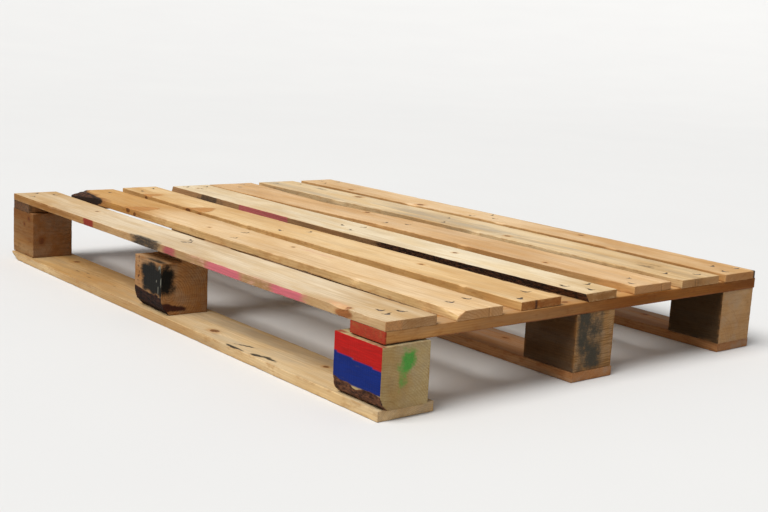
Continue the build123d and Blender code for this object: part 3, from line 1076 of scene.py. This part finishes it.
def stringer(index, column):
    """One stringer board, which lies along Y."""
    node = f"stringer_{column}"
    centre, size = box_of(node)
    timber = Timber((size[1], size[0], size[2]), STRINGER_SEED + index, BOARD_STEPS)
    timber.roughen()
    timber.bow(0.0006, 0.0)
    places = world_points(timber, centre, math.pi / 2)
    if column == "right":
        x, y, z = places.T
        worn = 0.78 + 0.22 * noise(places, (0.008, 0.01, 0.004), 71)
        paint(timber, worn * smooth(-0.394, -0.398, y), WORN_RED)
        timber.tone = smooth(-0.25, 0.20, y) * smooth(0.594, 0.599, x)
        low_edge = smooth(0.1065, 0.1035, z) * smooth(0.594, 0.599, x)
        paint(timber, 0.55 * low_edge, LOW_EDGE_BROWN)
    if column == "left":
        # the left stringer is darkened over its front end
        timber.soil(0.58 * smooth(-0.380, -0.396, places[:, 1]))
    material = timber_material(
        f"timber_stringer_{column}",
        STRINGER_COLOURS[column],
        0.0030,
        side_tint_and_shade=STRINGER_EDGE_TINT,
        tone_tint=STRINGER_TONE_TINT,
    )
    knots = [
        knot_at(0.12 - 0.2 * index, 0.01, 0.0, 0.007),
        knot_at(-0.25 + 0.1 * index, -0.02, 0.0, 0.005),
    ]
    grain = {"pith": (0.02, 0.09), "drift": (0.01, 0.0), "knots": knots}
    piece = timber_object(f"bearer_{column}", timber, places, grain, material)
    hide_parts(node)


# ------------------------------------------------------------------ blocks
BLOCK_STYLES = {
    ("front", "left"): {"colour": (0.27, 0.140, 0.058), "pith": (0.050, -0.060), "spacing": 0.0036},
    ("front", "middle"): {"colour": (0.35, 0.195, 0.085), "pith": (-0.030, -0.012), "spacing": 0.0040},
    ("front", "right"): {"colour": (0.415, 0.335, 0.18), "pith": (-0.055, -0.095), "spacing": 0.0036},
    ("centre", "left"): {"colour": (0.40, 0.26, 0.14), "pith": (-0.055, 0.020), "spacing": 0.0034},
    ("centre", "middle"): {"colour": (0.34, 0.20, 0.10), "pith": (0.012, 0.060), "spacing": 0.0038},
    ("centre", "right"): {"colour": (0.33, 0.20, 0.085), "pith": (0.020, 0.065), "spacing": 0.0034},
    ("back", "left"): {"colour": (0.36, 0.22, 0.11), "pith": (-0.040, -0.055), "spacing": 0.0036},
    ("back", "middle"): {"colour": (0.42, 0.28, 0.15), "pith": (0.062, 0.030), "spacing": 0.0032},
    ("back", "right"): {"colour": (0.45, 0.30, 0.16), "pith": (-0.060, -0.050), "spacing": 0.0030},
}
BLOCK_END_TINT = (0.92, 0.86, 0.80)
BLOCK_EDGE_TINT = (0.95, 0.90, 0.82)
# blocks whose face towards the front has a tint of its own: the front left block's own colour, and on
# the centre right and back right blocks a dark painted shade
BLOCK_FRONT_TINT_AND_SHADE = {
    ("front", "left"): (0.86, 0.79, 0.58),
    ("centre", "right"): (0.34, 0.32, 0.34),
    ("back", "right"): (0.16, 0.15, 0.14),
}
BLOCK_BARK = {
    ("front", "right"): ((0.028, 0.012, 0.008), (0.15, 0.060, 0.028)),
    ("front", "middle"): ((0.005, 0.003, 0.003), (0.034, 0.012, 0.007)),
}
BLOCK_CONTRAST = {("front", "right"): 0.32, ("front", "middle"): 0.85}
END_SAW = {("centre", "right"): 0.60, ("front", "right"): 0.15, ("back", "right"): 0.20}
BLOCK_WANES = {
    ("front", "middle"): {"across": 0.017, "high": 0.030},
    ("front", "right"): {"across": 0.013, "high": 0.024},
}
WANE_BEND_ACROSS = 0.30
WANE_BEND_HIGH = 0.38
WANE_ROUGHNESS = 0.0014


def dress_front_right(timber, places):
    """Red over blue paint on the front, and a green spray mark on the right end."""
    x, y, z = places.T
    front = on_front(timber)
    border = 0.0722 - 0.05 * (x - 0.553) + 0.0010 * rough_noise(places, (0.02, 0.05, 0.05), 75)
    thin = 0.06 * rough_noise(places, (0.03, 0.01, 0.004), 76)
    paint(timber, (0.94 + thin) * front * smooth(border - 0.0015, border + 0.0005, z), RED_PAINT)
    paint(timber, (0.92 + thin) * front * strip(z, 0.036, border, 0.0020), BLUE_PAINT)
    drips = strip(y, -0.409, -0.394, 0.006) * on_top(timber, 0.6)
    drips = drips * np.clip(0.46 + 0.40 * rough_noise(places, (0.022, 0.016, 0.02), 79), 0, 0.85)
    paint(timber, drips, DRIPPED_RED)
    uneven = 0.30 * rough_noise(places, (0.010, 0.010, 0.010), 77)
    heart = np.hypot((y + 0.363) / 0.016, (z - 0.0795) / 0.020)
    tail = np.hypot((y + 0.369) / 0.012, (z - 0.060) / 0.030)
    right = on_right(timber)
    spray = np.maximum(0.85 * smooth(1.5, 0.2, heart + uneven), 0.5 * smooth(1.5, 0.2, tail + uneven))
    paint(timber, spray * right, GREEN_PAINT)
    timber.tone = 0.35 * smooth(-0.34, -0.39, y) * right


def dress_front_middle(timber, places):
    """Black paint scuffed over the front face and onto the right end, and painted shade on the top just
    behind the front edge.
    """
    x, y, z = places.T
    front = on_front(timber)
    right = on_right(timber)
    cloud = rough_noise(places, (0.014, 0.014, 0.014), 81)
    patch = strip(x + 0.004 * cloud, -0.042, 0.040, 0.022)
    patch = patch * strip(z + 0.004 * cloud, 0.046, 0.097, 0.022)
    paint(timber, patch * front, BLACK_STAIN)
    # a dark strip on the top behind the front edge, under the front deck board, is painted shade
    painted_shade_top = strip(x, -0.030, 0.034, 0.030) * on_top(timber, 0.6)
    paint(timber, 0.75 * painted_shade_top * smooth(-0.380, -0.400, y), PAINTED_SHADE_BLACK)
    broken = smooth(0.0, 0.5, noise(places, (0.004, 0.02, 0.003), 83))
    column = strip(x, -0.058, -0.050, 0.004) * front * broken
    paint(timber, 0.8 * column, SEAM_BROWN)
    rubbed = smooth(0.10, 0.50, noise(places, (0.0026, 0.02, 0.014), 85)) * strip(x, 0.012, 0.034, 0.008)
    paint(timber, 1.01 * (rubbed > 0.5) * front * (patch > 0.5), RUBBED_GREY)
    away = np.hypot((y + 0.397) / 0.019, (z - 0.072) / 0.027)
    smudge = smooth(1.7, 0.1, away + 0.22 * cloud)
    paint(timber, 0.95 * smudge * right, BLACK_STAIN)
    foot_top = 0.036 - 0.16 * (y + 0.403) + 0.0015 * cloud
    foot = strip(z, 0.021, foot_top, 0.006) * smooth(-0.348, -0.368, y)
    paint(timber, 0.90 * foot * right, FOOT_BROWN)
    slow = noise(places, (0.035, 0.05, 0.05), 87)
    seam = smooth(0.053, 0.043, z + 0.004 * slow) * front
    timber.bark = np.maximum(timber.bark, seam)


def dress_centre_right(timber, places):
    """Blue-black stains over the left two thirds of the right end."""
    y, z = places[:, 1], places[:, 2]
    right = on_right(timber)
    cloud = rough_noise(places, (0.05, 0.021, 0.033), 92)
    region = strip(y, -0.036, 0.026, 0.016) * strip(z, 0.012, 0.114, 0.02)
    stain = region * (0.68 + 0.26 * cloud)
    paint(timber, np.clip(stain, 0, 0.92) * right, INK_STAIN)
    timber.tone = 0.5 * smooth(0.035, 0.010, z) * right


BLOCK_DRESS = {
    ("front", "right"): dress_front_right,
    ("front", "middle"): dress_front_middle,
    ("centre", "right"): dress_centre_right,
}
BLOCK_KNOTS = {
    ("front", "left"): [
        knot_at(0.049, -0.023, -0.010, 0.006, (-1, 0.1, 0.2), 0.05),
        knot_at(0.006, -0.041, 0.018, 0.003, (0, 1, 0), 0.05),
        knot_at(0.028, -0.041, 0.032, 0.004, (0, 1, 0), 0.05),
    ],
}


def block(index, row, column):
    """One block, its grain along X."""
    node = f"block_{row}_{column}"
    key = (row, column)
    turn = turn_of(node)
    centre, box = box_of(node)
    points = node_points(node) - centre
    own_x, own_y = turned(points[:, 0], points[:, 1], -turn)
    size = (np.ptp(own_x), np.ptp(own_y), box[2])
    knots = BLOCK_KNOTS.get(key, [])
    spots = [(np.array(knot["at"]), knot["radius"] * 2.0 + 0.004) for knot in knots]
    timber = Timber(size, BLOCK_SEED + index, BLOCK_STEPS, arris=BLOCK_ARRIS_RADIUS, spots=spots)
    timber.roughen(0.0003)
    # only the front face takes the block's tint, which on the centre right and back right blocks is
    # painted shade
    if key in BLOCK_FRONT_TINT_AND_SHADE:
        timber.sideways = -timber.outward[:, 1]
    half_y, half_z = timber.half[1:]
    if key in BLOCK_WANES:
        across, tall = BLOCK_WANES[key]["across"], BLOCK_WANES[key]["high"]
        bend = (0, -half_y + across * WANE_BEND_ACROSS, -half_z + tall * WANE_BEND_HIGH)
        first = (0, -(tall - tall * WANE_BEND_HIGH), -across * WANE_BEND_ACROSS)
        second = (0, -tall * WANE_BEND_HIGH, -across * (1 - WANE_BEND_ACROSS))
        timber.cut(bend, first, WANE_ROUGHNESS, BLOCK_SEED + index)
        timber.cut(bend, second, WANE_ROUGHNESS, BLOCK_SEED + index + 1)
    places = world_points(timber, centre, turn)
    if key in BLOCK_DRESS:
        BLOCK_DRESS[key](timber, places)
    style = BLOCK_STYLES[key]
    material = timber_material(
        f"timber_{node}",
        style["colour"],
        style["spacing"],
        contrast=BLOCK_CONTRAST.get(key, 0.60),
        saw=0.9,
        side_tint_and_shade=BLOCK_FRONT_TINT_AND_SHADE.get(key, BLOCK_EDGE_TINT),
        end_tint=BLOCK_END_TINT,
        bark_tones=BLOCK_BARK.get(key, (BARK_DARK, BARK_RED)),
        end_saw=END_SAW.get(key, 0.25),
    )
    grain = {"pith": style["pith"], "drift": (0.02, 0.02), "knots": knots}
    piece = timber_object(f"cube_{row}_{column}", timber, places, grain, material)
    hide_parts(node)


# ------------------------------------------------------------------ bottom runners
RUNNER_COLOURS = {
    "front": (0.59, 0.465, 0.29),
    "centre": (0.36, 0.19, 0.09),
    "back": (0.34, 0.175, 0.08),
}
RUNNER_EDGE_TINT = (0.98, 0.93, 0.84)
RUNNER_END_TINT = (0.98, 0.90, 0.82)
BEVEL_RUN = 0.029
BEVEL_HIGH = 0.012
# dark smears on the front runner: middle x and y, half length, half width, lean
RUNNER_SMEARS = [
    (0.246, -0.3990, 0.027, 0.0036, 0.0),
    (0.247, -0.3800, 0.024, 0.0034, 0.38),
    (0.302, -0.3930, 0.015, 0.0060, 0.20),
    (0.325, -0.3880, 0.023, 0.0036, -0.05),
]


def runner(index, row):
    """One bottom runner, its nails driven from below."""
    node = f"runner_{row}"
    centre, size = box_of(node)
    nails = [(x - centre[0], y - centre[1]) for x, y in nail_places(f"nails_runner_{row}", False)]
    spots = [(np.array([x, y, -size[2] / 2]), FINE_GRID_REACH) for x, y in nails]
    knots = [
        knot_at(-0.44 + 0.3 * index, 0.020, 0.0, 0.006),
        knot_at(0.15 - 0.2 * index, -0.020, 0.0, 0.008),
        knot_at(0.40, 0.015, 0.0, 0.004),
    ]
    timber = Timber(size, RUNNER_SEED + index, BOARD_STEPS, spots=spots)
    timber.roughen(0.0002)
    if row == "front":
        start = (-timber.half[0], 0, -timber.half[2] + BEVEL_HIGH)
        timber.cut(start, (-BEVEL_HIGH, 0, -BEVEL_RUN), 0.0003, RUNNER_SEED)
        timber.bark[:] = 0
    timber.dent(nails, -1)
    places = timber.points + centre
    if row == "front":
        x, y = places[:, 0], places[:, 1]
        upward = on_top(timber)
        uneven = 1 + 0.35 * rough_noise(places, (0.010, 0.004, 0.01), 95)
        for middle_x, middle_y, half_long, half_wide, lean in RUNNER_SMEARS:
            across = (y - middle_y - lean * (x - middle_x)) / half_wide
            away = np.hypot((x - middle_x) / half_long, across) * uneven
            timber.soil(0.88 * smooth(1.25, 0.55, away) * upward)
        scratches = smooth(0.55, 0.85, noise(places, (0.030, 0.0022, 0.01), 97)) * upward
        scratches = scratches * strip(x, -0.52, -0.15, 0.1) * strip(y, -0.385, -0.330, 0.02)
        timber.soil(0.75 * scratches)
        timber.tone = 0.75 * smooth(0.10, -0.35, x) * on_top(timber, 0.3)
    material = timber_material(
        f"timber_runner_{row}",
        RUNNER_COLOURS[row],
        0.0026,
        contrast=0.60,
        weather=0.22,
        side_tint_and_shade=RUNNER_EDGE_TINT,
        end_tint=RUNNER_END_TINT,
    )
    grain = {"pith": (0.03, -0.08), "drift": (0.014, 0.0), "knots": knots}
    piece = timber_object(f"skid_{row}", timber, places, grain, material)
    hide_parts(node)


# ------------------------------------------------------------------ nails
HEAD_PROFILE = [
    (0.0, 0.0),
    (0.0014, -0.00002),
    (0.0027, -0.00008),
    (0.0032, -0.00025),
    (0.0034, -0.0006),
    (0.0033, -0.0012),
    (0.0019, -0.0016),
    (0.0015, -0.0021),
]
NAIL_SIDES = 20


def ring_quads(rings, sides, start=0):
    """Quads between each ring of points and the next one."""
    quads = []
    for first in range(start, start + (rings - 1) * sides, sides):
        for n in range(sides):
            m = (n + 1) % sides
            quads.append((first + n, first + m, first + sides + m, first + sides + n))
    return quads


def tube(path, radii):
    """Points and quads of a round tube along a path in the XZ plane, closed at both ends."""
    path = np.array(path, float)
    ahead = np.gradient(path, axis=0)
    ahead /= np.linalg.norm(ahead, axis=1)[:, None]
    side = np.column_stack([ahead[:, 2], np.zeros(len(path)), -ahead[:, 0]])
    angle = np.linspace(0, 2 * math.pi, NAIL_SIDES, endpoint=False)
    rings = []
    for point, across, radius in zip(path, side, radii):
        ring = point + radius * (
            np.cos(angle)[:, None] * across + np.sin(angle)[:, None] * np.array([0, 1, 0])
        )
        rings.append(ring)
    points = np.concatenate(rings)
    faces = ring_quads(len(path), NAIL_SIDES)
    faces.append(tuple(range(NAIL_SIDES))[::-1])
    last = (len(path) - 1) * NAIL_SIDES
    faces.append(tuple(last + n for n in range(NAIL_SIDES)))
    return points, faces


def nail_mesh(length, clinch, side):
    """One nail, its head at the origin and its point towards -Z."""
    path = [(0, 0, drop) for _, drop in HEAD_PROFILE]
    radii = [max(radius, 0.0002) for radius, _ in HEAD_PROFILE]
    if clinch:
        for angle in np.linspace(0, math.pi / 2, 6):
            aside = BEND_RADIUS * (1 - math.cos(angle))
            path.append((side * aside, 0, -length + BEND_RADIUS - BEND_RADIUS * math.sin(angle)))
            radii.append(SHANK_RADIUS)
        for run, radius in ((0.006, 1.0), (0.009, 0.8), (0.0105, 0.15)):
            path.append((side * run, 0, -length))
            radii.append(SHANK_RADIUS * radius)
    else:
        for drop, radius in ((length - 0.006, 1.0), (length - 0.004, 1.0), (length, 0.1)):
            path.append((0, 0, -drop))
            radii.append(SHANK_RADIUS * radius)
    return tube(path, radii)


def nail_group(node, from_above, clinch, material, seed):
    """All the nails of one CAD node as one object."""
    low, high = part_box(node)
    length = high[2] - low[2]
    if clinch:
        length -= SHANK_RADIUS
    all_points = []
    all_faces = []
    start = 0
    cad = node_points(node)
    for number, (x, y) in enumerate(nail_places(node, from_above)):
        near = (np.abs(cad[:, 0] - x) < 0.012) & (np.abs(cad[:, 1] - y) < 0.003)
        near &= cad[:, 2] < low[2] + 0.002
        side = 1 if not clinch or cad[near][:, 0].mean() > x else -1
        points, faces = nail_mesh(length, clinch, side)
        turn = hashed(np.array([[number, seed, 3]], np.uint64), seed)[0] * 6.28
        if not clinch:
            cos, sin = math.cos(turn), math.sin(turn)
            points[:, :2] = points[:, :2] @ np.array([[cos, sin], [-sin, cos]])
        points += noise(points + number, (0.002, 0.002, 0.05), seed)[:, None] * 0.00006
        if not from_above:
            points[:, 2] *= -1
            faces = [face[::-1] for face in faces]
        points += np.array([x, y, high[2] if from_above else low[2]])
        all_points.append(points)
        all_faces += [tuple(start + n for n in face) for face in faces]
        start += len(points)
    points = np.concatenate(all_points).tolist()
    piece = smooth_object(f"wire_{node}", points, all_faces, material)
    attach(piece, "root")
    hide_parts(node)


# ------------------------------------------------------------------ floor, light, camera
FLOOR_FLAT = 5.0
FLOOR_REACH = 16.0
FLOOR_RISE = 0.015
FLOOR_DROP = 0.0004
FLOOR_SIDES = 96
FLOOR_GREY = (0.69, 0.69, 0.69)
FLOOR_PALE = (0.72, 0.72, 0.715)
SUN_STRENGTH = 3.45
SUN_ANGLE = 0.65
SUN_COLOUR = (1.0, 0.985, 0.96)
SUN_FROM = (0.05, -0.70, 1.0)
SKY_COLOUR = (0.97, 0.985, 1.0, 1.0)
SKY_STRENGTH = 0.36


def floor():
    """A pale floor that curves up far away on every side, so no edge shows."""
    radii = np.concatenate([np.linspace(0.2, FLOOR_FLAT, 12), np.linspace(5.5, FLOOR_REACH, 24)])
    sides = FLOOR_SIDES
    angle = np.linspace(0, 2 * math.pi, sides, endpoint=False)
    points = [(0, 0, -FLOOR_DROP)]
    for radius in radii:
        height = FLOOR_RISE * max(0.0, radius - FLOOR_FLAT) ** 2 - FLOOR_DROP
        points += [(radius * math.cos(a), radius * math.sin(a), height) for a in angle]
    faces = [(0, 1 + n, 1 + (n + 1) % sides) for n in range(sides)]
    faces += [(a, d, c, b) for a, b, c, d in ring_quads(len(radii), sides, 1)]
    g = Graph("floor_paper")
    place = g.node("TexCoord").outputs["Object"]
    mottle = g.noise(place, (1.5, 1.5, 1.5), 3.0)
    g.put(g.mix(mottle, FLOOR_GREY, FLOOR_PALE), g.shader.inputs["Base Color"])
    g.shader.inputs["Roughness"].default_value = 0.9
    plane = smooth_object("floor", points, faces, g.material)


def lights():
    """A broad soft key from above and in front, and an even sky."""
    data = bpy.data.lights.new("key", "SUN")
    data.energy = SUN_STRENGTH
    data.angle = SUN_ANGLE
    data.color = SUN_COLOUR
    lamp = bpy.data.objects.new("key", data)
    towards = Vector(SUN_FROM)
    lamp.rotation_euler = (-towards).to_track_quat("-Z", "Y").to_euler()
    bpy.context.scene.collection.objects.link(lamp)
    world = bpy.data.worlds.new("sky")
    bpy.context.scene.world = world
    world.use_nodes = True
    sky = world.node_tree.nodes["Background"]
    sky.inputs["Color"].default_value = SKY_COLOUR
    sky.inputs["Strength"].default_value = SKY_STRENGTH


CAMERA_PLACE = (1.734, -1.338, 0.492)
CAMERA_YAW = 50.63
CAMERA_PITCH = 10.56
CAMERA_ROLL = 3.08
CAMERA_LENS = 56.25


def camera():
    """The picture's viewpoint: low, near the front right corner, a little tilted."""
    yaw, pitch, roll = (math.radians(a) for a in (CAMERA_YAW, CAMERA_PITCH, CAMERA_ROLL))
    ahead = Vector((
        -math.sin(yaw) * math.cos(pitch),
        math.cos(yaw) * math.cos(pitch),
        -math.sin(pitch),
    ))
    level = Vector((math.cos(yaw), math.sin(yaw), 0))
    above = level.cross(ahead)
    right = math.cos(roll) * level + math.sin(roll) * above
    up = -math.sin(roll) * level + math.cos(roll) * above
    data = bpy.data.cameras.new("camera")
    data.lens = CAMERA_LENS
    data.sensor_width = 36.0
    data.clip_end = 100.0
    eye = bpy.data.objects.new("camera", data)
    matrix = Matrix.Identity(4)
    for axis, direction in enumerate((right, up, -ahead)):
        for row in range(3):
            matrix[row][axis] = direction[row]
    matrix.translation = Vector(CAMERA_PLACE)
    eye.matrix_world = matrix
    bpy.context.scene.collection.objects.link(eye)
    bpy.context.scene.camera = eye


# ------------------------------------------------------------------ everything together
ROWS = ("front", "centre", "back")
COLUMNS = ("left", "middle", "right")
CLINCHED_BOARDS = (2, 3, 5, 6)

camera()
for board_number in DECK:
    deck_board(board_number)
for column_index, column_name in enumerate(COLUMNS):
    stringer(column_index, column_name)
for row_index, row_name in enumerate(ROWS):
    runner(row_index, row_name)
    for column_index, column_name in enumerate(COLUMNS):
        block(3 * row_index + column_index, row_name, column_name)

steel = nail_material()
for board_number in DECK:
    nail_group(
        f"nails_deck_{board_number}", True, board_number in CLINCHED_BOARDS, steel, board_number
    )
for row_index, row_name in enumerate(ROWS):
    nail_group(f"nails_runner_{row_name}", False, False, steel, 20 + row_index)

floor()
lights()
bpy.context.scene.view_settings.view_transform = "Standard"
